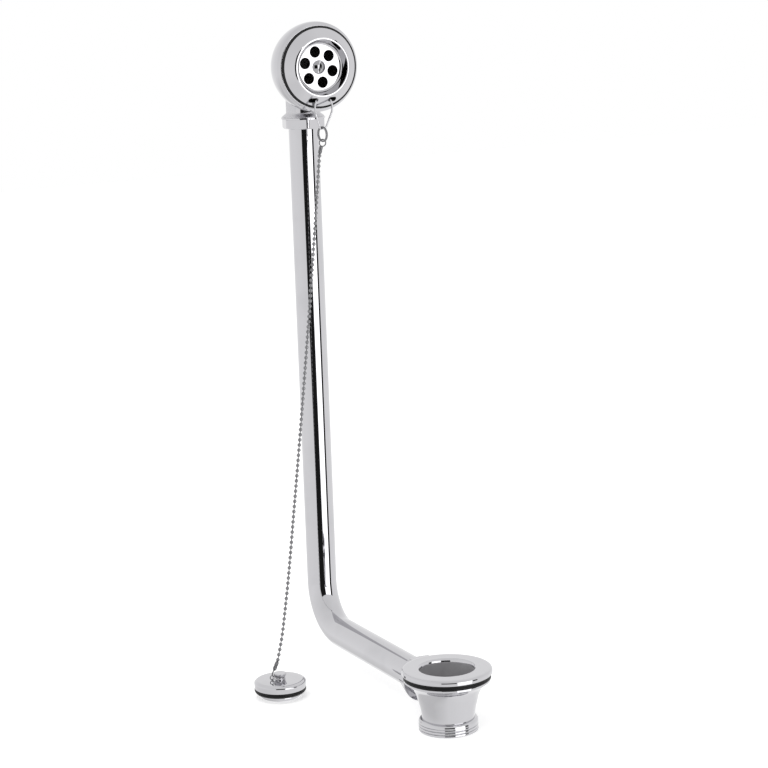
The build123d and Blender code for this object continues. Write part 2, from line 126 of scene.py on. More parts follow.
def circle(steps: int) -> np.ndarray:
    """Angles of even steps round a full turn."""
    return np.linspace(0.0, 2 * math.pi, steps, endpoint=False)


def arc_line(centre: Sequence[float], radius: float, start: float, end: float, count: int) -> np.ndarray:
    """Points on an arc in the plane of an outline, from one angle to another in degrees."""
    angle = np.radians(np.linspace(start, end, count))
    return np.stack([centre[0] + radius * np.cos(angle), centre[1] + radius * np.sin(angle)], axis=-1)


def grid_faces(rows: int, columns: int, wrap_rows: bool = False, wrap_columns: bool = True) -> np.ndarray:
    """Join a grid of points into quads.

    Args:
        rows: Count of points the first way.
        columns: Count of points the second way.
        wrap_rows: Whether the last row joins the first.
        wrap_columns: Whether the last column joins the first.

    Returns:
        Indices of each quad's corners.
    """
    row = np.arange(rows if wrap_rows else rows - 1)
    column = np.arange(columns if wrap_columns else columns - 1)
    low, left = np.meshgrid(row, column, indexing="ij")
    high = (low + 1) % rows
    right = (left + 1) % columns
    quad = (low * columns + left, high * columns + left, high * columns + right, low * columns + right)
    return np.stack(quad, axis=-1).reshape(-1, 4)


def rounded(table: Table, closed: bool = True) -> np.ndarray:
    """Round the corners of an outline or a bent wire.

    Each corner becomes a parabola between two points that lie its radius away on both runs,
    with one guard point more on each run, so that flat runs stay flat where they are shaded.

    Args:
        table: Corners with a rounding length as last number.
        closed: Whether the last corner joins the first.

    Returns:
        The points of the rounded line.
    """
    spot, size = np.split(np.array(table, dtype=float), [-1], axis=1)
    if not closed:
        size[[0, -1]] = 0.0
    before = np.roll(spot, 1, axis=0) - spot
    after = np.roll(spot, -1, axis=0) - spot
    run_in = np.linalg.norm(before, axis=1, keepdims=True)
    run_out = np.linalg.norm(after, axis=1, keepdims=True)
    least = np.minimum(run_in, run_out)
    reach = np.minimum(size, CORNER_SHARE * least)
    guard = np.where(size > 0, np.minimum(CORNER_GUARD, GUARD_SHARE * least), 0.0)
    way_in = before / run_in
    way_out = after / run_out
    u = np.linspace(0.0, 1.0, CORNER_STEPS)[None, :, None]
    start = (spot + way_in * reach)[:, None]
    end = (spot + way_out * reach)[:, None]
    arc = (1 - u) ** 2 * start + 2 * u * (1 - u) * spot[:, None] + u ** 2 * end
    first = (spot + way_in * (reach + guard))[:, None]
    last = (spot + way_out * (reach + guard))[:, None]
    line = np.concatenate([first, arc, last], axis=1).reshape(-1, spot.shape[1])
    return line[np.concatenate([[True], runs(line) > SAME_POINT])]


def densified(line: np.ndarray, step: float, closed: bool = True) -> np.ndarray:
    """Add points to the runs of a line, so that none is longer than a step.

    Args:
        line: Points of the line.
        step: Longest run.
        closed: Whether the last point joins the first.

    Returns:
        The line with more points.
    """
    ring = np.concatenate([line, line[:1]]) if closed else line
    count = np.maximum(np.ceil(runs(ring) / step).astype(int), 1)
    piece_of = np.repeat(np.arange(len(count)), count)
    first = np.repeat(np.cumsum(count) - count, count)
    share = (np.arange(count.sum()) - first) / count[piece_of]
    dense = ring[piece_of] + share[:, None] * (ring[piece_of + 1] - ring[piece_of])
    return dense if closed else np.concatenate([dense, line[-1:]])


def evenly(line: np.ndarray, share: np.ndarray) -> np.ndarray:
    """Read points off a line at shares of its length, which run from 0 to 1."""
    run = np.concatenate([[0.0], np.cumsum(runs(line))])
    return np.stack([np.interp(share * run[-1], run, axis) for axis in line.T], axis=-1)


def smooth_line(points: Table, count: int) -> np.ndarray:
    """Draw a smooth curve through points, as cubic pieces whose slopes come from each point's neighbours.

    Args:
        points: Places that the curve passes.
        count: How many points to return, evenly spaced by length.

    Returns:
        Points along the curve.
    """
    knot = np.array(points, dtype=float)
    span = runs(knot)
    time = np.concatenate([[0.0], np.cumsum(span)])
    slope = np.gradient(knot, time, axis=0)
    fine = np.linspace(0.0, time[-1], 40 * len(knot))
    part = np.clip(np.searchsorted(time, fine, side="right") - 1, 0, len(knot) - 2)
    width = span[part][:, None]
    u = ((fine - time[part]) / span[part])[:, None]
    start = (1 + 2 * u) * (1 - u) ** 2 * knot[part] + u * (1 - u) ** 2 * width * slope[part]
    end = u ** 2 * (3 - 2 * u) * knot[part + 1] + u ** 2 * (u - 1) * width * slope[part + 1]
    return evenly(start + end, np.linspace(0.0, 1.0, count))


def turned(outline: np.ndarray, spindle: Spindle, sides: int = SIDES, shape: Shape | None = None) -> Skin:
    """Turn a closed outline of radius and height round a spindle.

    Args:
        outline: Points of radius and height, in order.
        spindle: Where the piece stands.
        sides: Steps round the spindle.
        shape: Changes a radius by radius, height and angle, such as to cut flats or a thread.

    Returns:
        The turned surface, whose grid is outline by angle.
    """
    radius, height = np.split(outline, 2, axis=1)
    angle = circle(sides)[None, :]
    if shape is not None:
        radius = shape(radius, height, angle)
    points = spindle.place(radius, height, angle)
    return Skin(points.reshape(-1, 3), grid_faces(len(outline), sides, True))


def rings(first: np.ndarray, second: np.ndarray, sides: int) -> np.ndarray:
    """Unit circles for many pairs of directions: cosine the first way plus sine the second way."""
    angle = circle(sides)[None, :, None]
    return np.cos(angle) * first[:, None] + np.sin(angle) * second[:, None]


def strung(outlines: np.ndarray, starts: np.ndarray, ahead: np.ndarray, sides: int) -> Skin:
    """Turn outlines round many lines at once: the start, plus height ahead, plus radius round the line.

    Args:
        outlines: Radius and height of each row, for each line or once for all.
        starts: Where the lines start.
        ahead: The ways they run, as unit vectors.
        sides: Steps round a line.

    Returns:
        All the turned surfaces as one.
    """
    first = unit(np.cross(ahead, OUT))
    ring = rings(first, np.cross(ahead, first), sides)
    radius = outlines[..., 0, None, None]
    height = outlines[..., 1, None, None]
    points = starts[:, None, None] + height * ahead[:, None, None] + radius * ring[:, None]
    rows = outlines.shape[1]
    offset = np.arange(len(starts))[:, None, None] * rows * sides
    return Skin(points.reshape(-1, 3), (grid_faces(rows, sides) + offset).reshape(-1, 4))


def sleeve(
    line: np.ndarray, radius: np.ndarray, first: np.ndarray, second: np.ndarray, sides: int, closed: bool = False
) -> Skin:
    """Put a circle round each point of a line: its radius times cosine and sine of two directions.

    Args:
        line: The circles' middles.
        radius: Their radii.
        first: Direction of angle zero at each point.
        second: Direction of a quarter turn at each point.
        sides: Steps round a circle.
        closed: Whether the last circle joins the first.

    Returns:
        The surface through the circles.
    """
    points = line[:, None] + radius[:, None, None] * rings(first, second, sides)
    return Skin(points.reshape(-1, 3), grid_faces(len(line), sides, closed))


def wire(path: np.ndarray, radius: float, side: Sequence[float], sides: int) -> Skin:
    """Carry a circle along an open path and shut both ends by points on its line.

    Args:
        path: Points of the middle line.
        radius: Radius of the wire.
        side: A direction that the path never runs along.
        sides: Steps round the circle.

    Returns:
        The wire's surface.
    """
    ahead = unit(np.gradient(path, axis=0))
    first = unit(np.cross(ahead, side))
    second = np.cross(ahead, first)
    shut = np.concatenate([[0], np.arange(len(path)), [len(path) - 1]])
    size = np.full(len(shut), radius)
    size[[0, -1]] = 0.0
    return sleeve(path[shut], size, first[shut], second[shut], sides)


def hoop(spindle: Spindle, radius: float, thick: float, sides: int = 56) -> Skin:
    """Ring of round wire: a circle of the wire's radius turned round the spindle."""
    outline = arc_line((radius, 0.0), thick, 0.0, 360.0, WIRE_SIDES + 1)[:-1]
    return turned(outline, spindle, sides)


def prism(ring: np.ndarray, shift: Sequence[float]) -> Skin:
    """Closed bar: a flat ring of points, the same ring moved by a vector, and both ends shut at their middles."""
    middle = np.broadcast_to(ring.mean(axis=0), ring.shape)
    return Skin(np.concatenate([middle, ring, ring + shift, middle + shift]), grid_faces(4, len(ring)))


# Meshes

class Cut(Enum):
    """Ways to work one mesh with another."""

    AWAY = "DIFFERENCE"
    TOGETHER = "UNION"


def mesh_object(name: str, *skins: Skin) -> bpy.types.Object:
    """Make one object of several surfaces, with doubles merged and faces turned outwards.

    Args:
        name: The object's name.
        skins: Surfaces in millimetres.

    Returns:
        The object, linked to the scene, with its place in its mesh.
    """
    start = np.cumsum([0] + [len(skin.points) for skin in skins])
    points = np.concatenate([skin.points for skin in skins]) * MM
    faces = np.concatenate([skin.faces + offset for skin, offset in zip(skins, start)])
    mesh = bpy.data.meshes.new(name)
    mesh.from_pydata(points.tolist(), [], faces.tolist())
    work = bmesh.new()
    work.from_mesh(mesh)
    bmesh.ops.remove_doubles(work, verts=work.verts, dist=DOUBLES)
    bmesh.ops.dissolve_degenerate(work, edges=work.edges, dist=SLIVERS)
    bmesh.ops.recalc_face_normals(work, faces=work.faces)
    work.to_mesh(mesh)
    work.free()
    soften(mesh)
    return linked(name, mesh)


def linked(name: str, data: bpy.types.ID) -> bpy.types.Object:
    """Make an object of a mesh, a lens or a light and link it to the scene.

    Args:
        name: The object's name.
        data: What it shows.

    Returns:
        The object.
    """
    made = bpy.data.objects.new(name, data)
    bpy.context.scene.collection.objects.link(made)
    return made


def soften(mesh: bpy.types.Mesh) -> None:
    """Shade a mesh smooth, apart from its sharp edges."""
    mesh.polygons.foreach_set("use_smooth", np.ones(len(mesh.polygons), dtype=bool))
    mesh.set_sharp_from_angle(angle=SHARP_ANGLE)
    mesh.update()


def work_with(target: bpy.types.Object, tool: bpy.types.Object, how: Cut) -> None:
    """Cut a tool away from an object or add it to it; the tool is used up.

    Args:
        target: The object to change.
        tool: The other object.
        how: What the tool does.
    """
    step = target.modifiers.new("work", "BOOLEAN")
    step.operation = how.value
    step.solver = "EXACT"
    step.object = tool
    graph = bpy.context.evaluated_depsgraph_get()
    mesh = bpy.data.meshes.new_from_object(target.evaluated_get(graph))
    target.modifiers.clear()
    spent = (target.data, tool.data)
    mesh.name = target.data.name + "_worked"
    target.data = mesh
    bpy.data.objects.remove(tool)
    for old in spent:
        bpy.data.meshes.remove(old)
    soften(mesh)


# Shader maths

class Number:
    """A shader value that can be used in Python expressions, each of which adds a Math node."""

    def __init__(self, graph: Graph, socket: bpy.types.NodeSocket) -> None:
        """Keep the graph and the socket that gives the value."""
        self.graph = graph
        self.socket = socket

    def math(self, operation: str, *others: Any, clamp: bool = False, swap: bool = False) -> Number:
        """Add one Math node.

        Args:
            operation: The node's operation.
            others: Further values.
            clamp: Whether the result stays from 0 to 1.
            swap: Whether this value comes after the others.

        Returns:
            The result.
        """
        values = [*others, self] if swap else [self, *others]
        node = self.graph.node("ShaderNodeMath", dict(enumerate(values)), operation=operation, use_clamp=clamp)
        return Number(self.graph, node.outputs[0])

    def __add__(self, other: Any) -> Number:
        """Sum."""
        return self.math("ADD", other)

    def __radd__(self, other: Any) -> Number:
        """Sum with a plain number first."""
        return self.math("ADD", other, swap=True)

    def __sub__(self, other: Any) -> Number:
        """Difference."""
        return self.math("SUBTRACT", other)

    def __rsub__(self, other: Any) -> Number:
        """Difference with a plain number first."""
        return self.math("SUBTRACT", other, swap=True)

    def __mul__(self, other: Any) -> Number:
        """Product."""
        return self.math("MULTIPLY", other)

    def __rmul__(self, other: Any) -> Number:
        """Product with a plain number first."""
        return self.math("MULTIPLY", other, swap=True)

    def __truediv__(self, other: Any) -> Number:
        """Quotient."""
        return self.math("DIVIDE", other)

    def clamped(self) -> Number:
        """The value held from 0 to 1."""
        return self.math("ADD", 0.0, clamp=True)

    def band(self, low: float, high: float, soft: float) -> Number:
        """One between two numbers and zero outside them, with soft borders."""
        rise = ((self - low) / soft + 0.5).clamped()
        return rise * ((high - self) / soft + 0.5).clamped()


class Graph:
    """Adds nodes to the node tree of a material or a world."""

    def __init__(self, owner: bpy.types.Material | bpy.types.World) -> None:
        """Give the owner an empty tree and keep it."""
        owner.use_nodes = True
        self.tree = owner.node_tree
        self.tree.nodes.clear()

    def node(self, kind: str, inputs: Mapping[Any, Any] | None = None, **settings: Any) -> bpy.types.Node:
        """Add a node, set it and fill its sockets.

        Args:
            kind: The node's type.
            inputs: Values, sockets or Numbers by socket name or place.
            settings: Properties that are set first.

        Returns:
            The node.
        """
        made = self.tree.nodes.new(kind)
        for name, value in settings.items():
            setattr(made, name, value)
        for name, value in (inputs or {}).items():
            if isinstance(value, Number):
                value = value.socket
            if isinstance(value, bpy.types.NodeSocket):
                self.tree.links.new(value, made.inputs[name])
            else:
                made.inputs[name].default_value = value
        return made

    def number(self, node: bpy.types.Node, output: Any = 0) -> Number:
        """Wrap one output of a node."""
        return Number(self, node.outputs[output])

    def noise(self, where: bpy.types.NodeSocket, scale: float, detail: float) -> Number:
        """Noise from 0 to 1 over coordinates, with lumps to a metre and octaves."""
        node = self.node("ShaderNodeTexNoise", {"Vector": where, "Scale": scale, "Detail": detail})
        return self.number(node, "Fac")

    def bump(self, height: Number, strength: float, distance: float) -> bpy.types.NodeSocket:
        """Normal that a height raises by a distance in metres, at a strength."""
        node = self.node("ShaderNodeBump", {"Strength": strength, "Distance": distance, "Height": height})
        return node.outputs[0]

    def blend(self, share: Number, low: Triple, high: Triple) -> bpy.types.NodeSocket:
        """Mix two colours by a share."""
        node = self.node("ShaderNodeMix", {0: share, 6: (*low, 1.0), 7: (*high, 1.0)}, data_type="RGBA")
        return node.outputs[2]


# Finishes

@dataclass(frozen=True)
class Finish:
    """What finishes share: a name, a slot name, and the two tones between which the surface varies."""

    name: str
    slot: str
    dark: Triple
    light: Triple

    def sockets(self, graph: Graph, where: bpy.types.NodeSocket) -> dict[str, Any]:
        """Work out the shader's sockets, which each finish does in its own way.

        Args:
            graph: Where nodes are added.
            where: Object coordinates.

        Returns:
            Values and links by socket name.
        """
        raise NotImplementedError

    def material(self) -> bpy.types.Material:
        """Make the material, or return it if it is there."""
        made = bpy.data.materials.get(self.name)
        if made is None:
            made = bpy.data.materials.new(self.name)
            graph = Graph(made)
            where = graph.node("ShaderNodeTexCoord").outputs["Object"]
            shader = graph.node("ShaderNodeBsdfPrincipled", self.sockets(graph, where))
            graph.node("ShaderNodeOutputMaterial", {"Surface": shader.outputs[0]})
        return made


@dataclass(frozen=True)
class Chrome(Finish):
    """Bright plating: a mirror with faint handling haze, fine polish marks and, on castings, a slight ripple."""

    name: str = "chrome_bright"
    slot: str = "chrome"
    dark: Triple = (0.545, 0.542, 0.562)
    light: Triple = (0.6, 0.596, 0.617)
    tone_band: Triple = (0.3, 2.0, 0.4)
    polish: float = 0.008
    haze: float = 0.018
    marks: float = 0.02
    haze_scale: float = 38.0
    marks_scale: float = 620.0
    stretch: Triple = (1.0, 1.0, 1.0)
    ripple: float = 0.0
    ripple_scale: float = 75.0
    ripple_depth: float = 0.0002

    def sockets(self, graph: Graph, where: bpy.types.NodeSocket) -> dict[str, Any]:
        """Roughness is the polish plus shares of haze and marks; the tone follows the haze."""
        along = graph.node("ShaderNodeMapping", {"Vector": where, "Scale": self.stretch}).outputs[0]
        haze = graph.noise(where, self.haze_scale, 3.0)
        marks = graph.noise(along, self.marks_scale, 2.0)
        found = {
            "Base Color": graph.blend(haze.band(*self.tone_band), self.dark, self.light),
            "Metallic": 1.0,
            "Roughness": self.polish + haze * self.haze + marks * self.marks,
        }
        if self.ripple > 0:
            lumps = graph.noise(where, self.ripple_scale, 1.0)
            found["Normal"] = graph.bump(lumps, self.ripple, self.ripple_depth)
        return found


@dataclass(frozen=True)
class Rubber(Finish):
    """Black moulded rubber with a fine grain and a grey bloom in places."""

    name: str = "rubber_black"
    slot: str = "rubber"
    dark: Triple = (0.003, 0.003, 0.0035)
    light: Triple = (0.009, 0.009, 0.01)
    grain: float = 0.25
    grain_scale: float = 1400.0
    grain_depth: float = 0.0001
    bloom_scale: float = 120.0
    rough: float = 0.34
    bloom_rough: float = 0.2
    shine: float = 0.22

    def sockets(self, graph: Graph, where: bpy.types.NodeSocket) -> dict[str, Any]:
        """Tone and roughness follow the bloom, and the grain raises the surface."""
        bloom = graph.noise(where, self.bloom_scale, 4.0)
        grain = graph.noise(where, self.grain_scale, 2.0)
        return {
            "Base Color": graph.blend(bloom, self.dark, self.light),
            "Roughness": self.rough + bloom * self.bloom_rough,
            "Specular IOR Level": self.shine,
            "Normal": graph.bump(grain, self.grain, self.grain_depth),
        }


@dataclass(frozen=True)
class Bore(Finish):
    """Dull inner wall that the plating hardly reaches: grey with cloudy water marks; its near-black copy is
    painted shade inside the head's chamber.
    """

    name: str = "bore_dull"
    slot: str = "chrome"
    dark: Triple = (0.3, 0.295, 0.305)
    light: Triple = (0.42, 0.415, 0.43)
    rough: float = 0.3
    cloud_rough: float = 0.12
    cloud_scale: float = 90.0

    def sockets(self, graph: Graph, where: bpy.types.NodeSocket) -> dict[str, Any]:
        """Tone and roughness follow the clouds."""
        cloud = graph.noise(where, self.cloud_scale, 4.0)
        tone = graph.blend(cloud, self.dark, self.light)
        return {"Base Color": tone, "Roughness": self.rough + cloud * self.cloud_rough}


TURNED_CHROME = Chrome()
CAST_CHROME = Chrome("chrome_cast", ripple=0.05, haze=0.025)
TUBE_CHROME = Chrome("chrome_tube", stretch=(1.0, 1.0, 0.04), marks=0.014)
SATIN_CHROME = Chrome("chrome_satin", polish=0.24, haze=0.1, marks=0.1)
SCREW_CHROME = Chrome("chrome_screw", dark=(0.26, 0.26, 0.268), light=(0.4, 0.4, 0.412), polish=0.03, marks=0.05)
WIRE_CHROME = Chrome("chrome_wire", dark=(0.46, 0.46, 0.475), haze=0.05, marks=0.09, marks_scale=900.0)
CHAIN_CHROME = Chrome(
    "chrome_chain", dark=(0.15, 0.15, 0.155), light=(0.27, 0.27, 0.28), polish=0.12, haze=0.1, marks=0.12,
    haze_scale=160.0,
)
CLASP_CHROME = Chrome(
    "chrome_clasp", dark=(0.07, 0.07, 0.073), light=(0.19, 0.19, 0.197), polish=0.16, haze=0.12, marks=0.1,
    haze_scale=300.0,
)
BLACK_RUBBER = Rubber()
DULL_BORE = Bore()
# Painted shade: a near-black finish for the inner faces of the head's chamber behind the rose.
CHAMBER_PAINTED_SHADE = Bore("chamber_painted_shade", dark=(0.012, 0.011, 0.01), light=(0.03, 0.027, 0.024), rough=0.55)


class Body(Enum):
    """Bodies of the frame that pieces ride on."""

    FITTING = "fitting"
    STAY = "stay"
    RING = "ring"
    CHAIN = "chain"
    PLUG = "plug"


def dress(made: bpy.types.Object, finish: Finish, body: Body, *nodes: str) -> None:
    """Give a piece its finish and its body, and hide the CAD nodes that it stands for.

    Args:
        made: The piece.
        finish: Its finish.
        body: The body it rides on.
        nodes: The nodes it replaces.
    """
    made.data.materials.clear()
    made.data.materials.append(finish.material())
    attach(made, body.value)
    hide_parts(*nodes)
    LOG.info("%s stands for %s with %d faces", made.name, ", ".join(nodes), len(made.data.polygons))


def line_inside(made: bpy.types.Object, finish: Finish, inside: FaceTest) -> None:
    """Give some walls of a piece a finish of their own.

    Args:
        made: The piece.
        finish: Finish of those walls.
        inside: Says by face centres in millimetres and face normals which faces they are.
    """
    mesh = made.data
    count = len(mesh.polygons)
    centre = np.empty(3 * count)
    normal = np.empty(3 * count)
    index = np.empty(count, dtype=np.int32)
    mesh.polygons.foreach_get("center", centre)
    mesh.polygons.foreach_get("normal", normal)
    mesh.polygons.foreach_get("material_index", index)
    mesh.materials.append(finish.material())
    index[inside(centre.reshape(-1, 3) / MM, normal.reshape(-1, 3))] = len(mesh.materials) - 1
    mesh.polygons.foreach_set("material_index", index)
    mesh.update()


# Sub-assemblies, all sizes in millimetres; a row of an outline is radius, height and rounding

@dataclass
class UnionNut:
    """Hexagon union nut with a round collar at its front."""

    spindle: Spindle
    turn: float = 0.0
    across_flats: float = 33.0
    collar_r: float = 18.6
    collar_t: float = 1.5
    length: float = 9.5
    bore: float = 12.75
    corner_loss: float = 0.35
    corner_round: float = 3.0

    def flats(self, radius: np.ndarray, height: np.ndarray, angle: np.ndarray) -> np.ndarray:
        """Cut six flats behind the collar, with rounded corners between them.

        On a flat the radius is its distance over the cosine of the angle from its middle. At a corner it is
        where a ray meets the rounding's circle, whose middle lies on the corner's own ray.
        """
        sixth = math.pi / 3
        apothem = self.across_flats / 2
        off = (angle - math.radians(self.turn)) % sixth - sixth / 2
        flat = apothem / np.cos(off)
        middle = (apothem - self.corner_round) / math.cos(sixth / 2)
        aside = middle * np.sin(sixth / 2 - np.abs(off))
        ahead = middle * np.cos(sixth / 2 - np.abs(off))
        corner = ahead + np.sqrt(np.maximum(self.corner_round ** 2 - aside ** 2, 0.0))
        on_flat = apothem * np.tan(np.abs(off)) < (apothem - self.corner_round) * math.tan(sixth / 2)
        shaped = np.where(on_flat, flat, corner)
        return np.where(height > self.collar_t + 0.02, np.minimum(radius, shaped), radius)

    def build(self, name: str, node: str) -> None:
        """Turn the nut's outline, cut its flats and dress it.

        Args:
            name: The piece's name.
            node: The node it stands for.
        """
        half = self.across_flats / 2
        corner = self.across_flats / math.sqrt(3) - self.corner_loss
        outline = rounded([
            (self.bore, 0.0, 0.0), (self.collar_r, 0.0, 0.3), (self.collar_r, self.collar_t, 0.25),
            (half - 0.6, self.collar_t + 0.03, 0.0), (corner, self.collar_t + 0.06, 0.0),
            (corner, self.length - 1.0, 0.2), (half - 0.2, self.length, 0.35), (self.bore, self.length, 0.3),
        ])
        made = mesh_object(name, turned(densified(outline, 0.5), self.spindle, 360, self.flats))
        dress(made, TURNED_CHROME, Body.FITTING, node)


@dataclass
class RubberRing:
    """Flat rubber ring with rounded outer corners."""

    spindle: Spindle
    bore: float
    outer: float
    low: float
    thick: float
    edge: float

    def build(self, name: str, node: str) -> None:
        """Turn the ring's outline and dress it.

        Args:
            name: The piece's name.
            node: The node it stands for.
        """
        high = self.low + self.thick
        outline = rounded([
            (self.bore, self.low, 0.0), (self.outer, self.low, self.edge),
            (self.outer, high, self.edge), (self.bore, high, 0.0),
        ])
        dress(mesh_object(name, turned(outline, self.spindle)), BLACK_RUBBER, Body.FITTING, node)


def bore_faces(high: float) -> FaceTest:
    """Test for the faces below a height that look towards the waste's axis."""
    return lambda centre, normal: ((centre * normal)[:, :2].sum(axis=1) < -1.0) & (centre[:, 2] < high)


@dataclass
class Waste:
    """Flanged waste: flange, two washers, flared body with its threaded outlet, and the lower union nut."""

    flange_r: float = 36.2
    flange_top: float = 50.8
    flange_under: float = 46.4
    tail_r: float = 23.85
    tail_bore: float = 21.6
    tail_end: float = 36.0
    washer_r: float = 35.0
    washer_t: float = 2.0
    washer_edge: float = 0.45
    rim_r: float = 34.6
    rim_t: float = 1.9
    thread_r: float = 23.9
    thread_pitch: float = 2.3
    thread_depth: float = 0.95
    thread_crest: float = 0.8
    thread_round: float = 1.7
    thread_low: float = 0.25
    thread_top: float = 6.9
    thread_fade: float = 0.5
    collar_z: float = 7.5
    collar_round: float = 2.6
    collar_bend: float = 86.0
    outlet_bore: float = 19.2
    outlet_top: float = 9.0
    neck_r: float = 21.45
    neck_z: float = 12.7
    neck_in: float = 0.23
    flare: Table = ((22.3, 18.0), (23.5, 23.0), (25.4, 30.0), (28.4, 35.4))
    throat_r: float = 22.2
    throat_low: float = 30.0
    throat_top: float = 34.4
    wall_middle: Table = ((0.0, 8.0), (20.4, 9.0), (23.6, 30.0), (23.6, 34.4), (25.5, 36.0))
    rim_middle: float = 0.9
    leg_z: float = 30.2
    inlet_r: float = 14.5
    inlet_bore: float = 10.2
    inlet_start: float = 15.0
    inlet_bore_start: float = 5.0
    inlet_end: float = 44.0
    nut_front: float = -39.0
    upright: Spindle = Spindle()

    def flange(self) -> None:
        """Flange with a softly rounded edge, a rolled hole and its tail."""
        r, top, bore = self.flange_r, self.flange_top, self.tail_bore
        outline = rounded([
            (bore, self.tail_end, 0.3), (self.tail_r, self.tail_end, 0.3), (self.tail_r, self.flange_under, 0.0),
            (r, self.flange_under, 0.7), (r, top - 1.4, 0.9), (r - 1.0, top - 0.2, 0.7), (r - 2.8, top, 1.0),
            (bore + 1.5, top, 0.9), (bore + 0.5, top - 1.1, 0.8), (bore, top - 2.8, 0.9),
        ])
        made = mesh_object("flange", turned(outline, self.upright, 180))
        dress(made, TURNED_CHROME, Body.FITTING, "waste_flange")
        line_inside(made, DULL_BORE, bore_faces(top - 2.6))

    def thread(self, radius: np.ndarray, height: np.ndarray, angle: np.ndarray) -> np.ndarray:
        """Thread on the outlet, a function of height less angle, faded at both ends.

        Each crest is an arc of a circle, and straight flanks run from its ends down to the root.
        """
        turns = height / self.thread_pitch - angle / (2 * math.pi)
        off = np.abs(turns % 1.0 - 0.5) * self.thread_pitch
        arc = self.thread_round - np.sqrt(self.thread_round ** 2 - np.minimum(off, self.thread_crest) ** 2)
        shoulder = self.thread_round - math.sqrt(self.thread_round ** 2 - self.thread_crest ** 2)
        flank = (off - self.thread_crest) / (self.thread_pitch / 2 - self.thread_crest)
        groove = arc + np.maximum(flank, 0.0) * (self.thread_depth - shoulder)
        rise = np.clip((height - self.thread_low) / self.thread_fade, 0.0, 1.0)
        fade = rise * np.clip((self.thread_top - height) / self.thread_fade, 0.0, 1.0)
        return np.where(radius > self.thread_r - 0.02, radius - groove * fade, radius)

    def body(self) -> None:
        """Flared cup on a threaded outlet, with the side inlet joined on and bored.

        The inlet is cut back to the middle of the cup's wall first, so that none of it stands in the cup.
        """
        rim_top = self.flange_under - 2 * self.washer_t
        seat = self.tail_r + FIT
        neck = (self.neck_r - self.neck_in, self.collar_z + self.collar_round)
        lip = (self.rim_r - 0.6, rim_top - self.rim_t)
        foot = rounded([
            (self.outlet_bore, 0.0, 0.0), (self.thread_r - 0.35, 0.0, 0.15), (self.thread_r, 0.35, 0.15),
            (self.thread_r, self.collar_z, 0.0),
        ], False)
        bead_at = (self.thread_r - self.collar_round, self.collar_z)
        bead = arc_line(bead_at, self.collar_round, 0.0, self.collar_bend, 24)
        flare = smooth_line([neck, (self.neck_r, self.neck_z), *self.flare, lip], 50)
        high = rounded([
            (*lip, 0.0), (self.rim_r, lip[1] + 0.2, 0.3), (self.rim_r, rim_top, 0.3), (seat, rim_top, 0.0),
            (seat, self.tail_end, 0.0), (self.throat_r, self.throat_top, 0.3),
            (self.throat_r, self.throat_low, 1.0), (self.outlet_bore, self.outlet_top, 1.0),
            (self.outlet_bore, 0.0, 0.0),
        ], False)
        outline = np.concatenate([densified(foot, 0.12, False), bead[1:], [neck], flare[1:-1], high[:-1]])
        cup = mesh_object("waste_cup", turned(outline, self.upright, 180, self.thread))
        sideways = Spindle((0.0, 0.0, self.leg_z), BACK, ASIDE)
        inlet = rounded([
            (0.0, self.inlet_start, 0.0), (self.inlet_r, self.inlet_start, 0.0),
            (self.inlet_r, self.inlet_end, 0.4), (0.0, self.inlet_end, 0.0),
        ])
        clear = self.washer_r + 0.5
        deep = rim_top - self.rim_middle
        above = rim_top + 8.0
        inside = np.array([
            *self.wall_middle, (self.wall_middle[-1][0], deep), (clear, deep), (clear, above), (0.0, above),
        ])
        end = self.inlet_end + 1.0
        start = self.inlet_bore_start
        way = np.array([(0.0, start), (self.inlet_bore, start), (self.inlet_bore, end), (0.0, end)])
        branch = mesh_object("waste_branch", turned(inlet, sideways, 96))
        work_with(branch, mesh_object("tool", turned(inside, self.upright, 96)), Cut.AWAY)
        work_with(cup, branch, Cut.TOGETHER)
        work_with(cup, mesh_object("tool", turned(way, sideways, 96)), Cut.AWAY)
        dress(cup, CAST_CHROME, Body.FITTING, "waste_body")
        line_inside(cup, DULL_BORE, bore_faces(self.tail_end))

    def build(self) -> None:
        """Make every piece of the waste."""
        self.flange()
        for name, node, place in (("flange_seal", "flange_washer", 1), ("body_seal", "body_washer", 2)):
            low = self.flange_under - place * self.washer_t
            ring = RubberRing(self.upright, self.tail_r + FIT, self.washer_r, low, self.washer_t, self.washer_edge)
            ring.build(name, node)
        self.body()
        UnionNut(Spindle((self.nut_front, 0.0, self.leg_z), BACK, ASIDE)).build("lower_nut", "lower_union_nut")


@dataclass
class OverflowPipe:
    """One inch tube with one bend, from the upper union down and along to the waste."""

    outer: float = 12.7
    bore: float = 11.5
    x: float = -226.0
    leg_z: float = 30.2
    bend: float = 38.0
    top: float = 475.5
    foot: float = -36.6

    def route(self) -> np.ndarray:
        """Middle line of the tube: straight down, a quarter circle, straight along."""
        middle = (self.x + self.bend, self.leg_z + self.bend)
        down = np.stack([np.full(9, self.x), np.linspace(self.top, middle[1], 9)], axis=-1)
        curve = arc_line((0.0, 0.0), self.bend, 180.0, 270.0, 61) + middle
        along = np.stack([np.linspace(middle[0], self.foot, 9), np.full(9, self.leg_z)], axis=-1)
        flat = np.concatenate([down[:-1], curve, along[1:]])
        return np.stack([flat[:, 0], np.zeros(len(flat)), flat[:, 1]], axis=-1)

    def build(self) -> None:
        """Make the tube: its outside down the route and its bore back up, as one closed surface."""
        route = self.route()
        first = np.cross(unit(np.gradient(route, axis=0)), ASIDE)
        there_and_back = np.concatenate([route, route[::-1]])
        side = np.concatenate([first, first[::-1]])
        radius = np.repeat((self.outer, self.bore), len(route))
        skin = sleeve(there_and_back, radius, side, np.broadcast_to(ASIDE, side.shape), 128, True)
        dress(mesh_object("pipe", skin), TUBE_CHROME, Body.FITTING, "pipe_upright", "pipe_bend", "pipe_leg")


